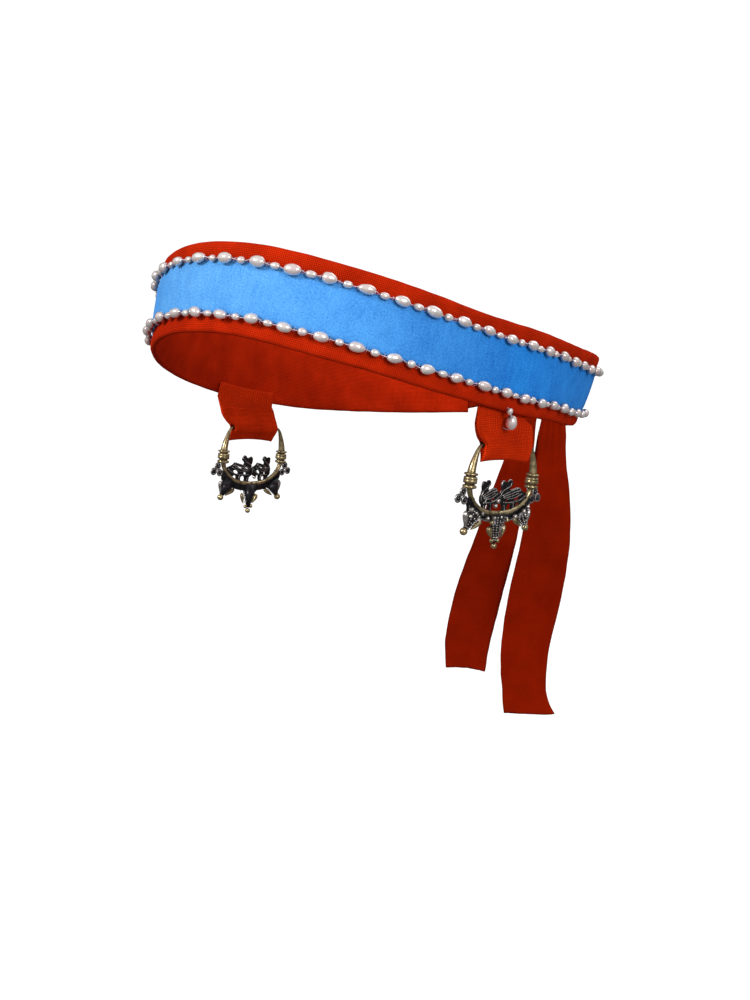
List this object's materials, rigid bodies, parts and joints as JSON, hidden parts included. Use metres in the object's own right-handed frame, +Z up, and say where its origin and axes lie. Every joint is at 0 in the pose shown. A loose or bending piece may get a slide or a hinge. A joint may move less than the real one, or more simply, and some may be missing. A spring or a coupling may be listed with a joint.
{
  "type": "pearl embroidered headband",
  "caption": "Red cloth headband for festive dress, with a blue stripe, two sewn strings of pearls, an openwork bronze temple ring on a tab at each side, and ties knotted behind.",
  "frame": {"origin": "middle of the head opening, at half the band's height", "axes": "+Z up along the head; the wearer faces -Y and their left is +X"},
  "size_m": [0.1576, 0.2173, 0.2413],
  "materials": {
    "red_linen": "plain woven linen, matte",
    "blue_cloth": "smooth cloth with a soft sheen",
    "pearl": "freshwater pearl, lustrous",
    "antique_bronze": "cast bronze with dark patina in its recesses"
  },
  "bodies": {
    "headband": {"headband": "red_linen", "blue_stripe": "blue_cloth", "pearl_string_upper": "pearl", "pearl_string_lower": "pearl", "tab_left": "red_linen", "tab_right": "red_linen", "tab_pearl_left": "pearl", "tab_pearl_right": "pearl", "tie_strap_left": "red_linen", "tie_strap_right": "red_linen", "tie_knot": "red_linen", "tie_end_left": "red_linen", "tie_end_right": "red_linen"},
    "temple_ring_left": {"temple_ring_left": "antique_bronze"},
    "temple_ring_right": {"temple_ring_right": "antique_bronze"}
  },
  "joints": [
    {"name": "temple_ring_left_swing", "type": "hinge", "parent": "headband", "child": "temple_ring_left", "pos_m": [0.06826, -0.00536, -0.0256], "axis": [-0.057, -0.9772, 0.2045], "range_deg": [-10, 70]},
    {"name": "temple_ring_right_swing", "type": "hinge", "parent": "headband", "child": "temple_ring_right", "pos_m": [-0.06826, -0.00536, -0.03619], "axis": [-0.0573, 0.9772, -0.2045], "range_deg": [-10, 70]}
  ]
}
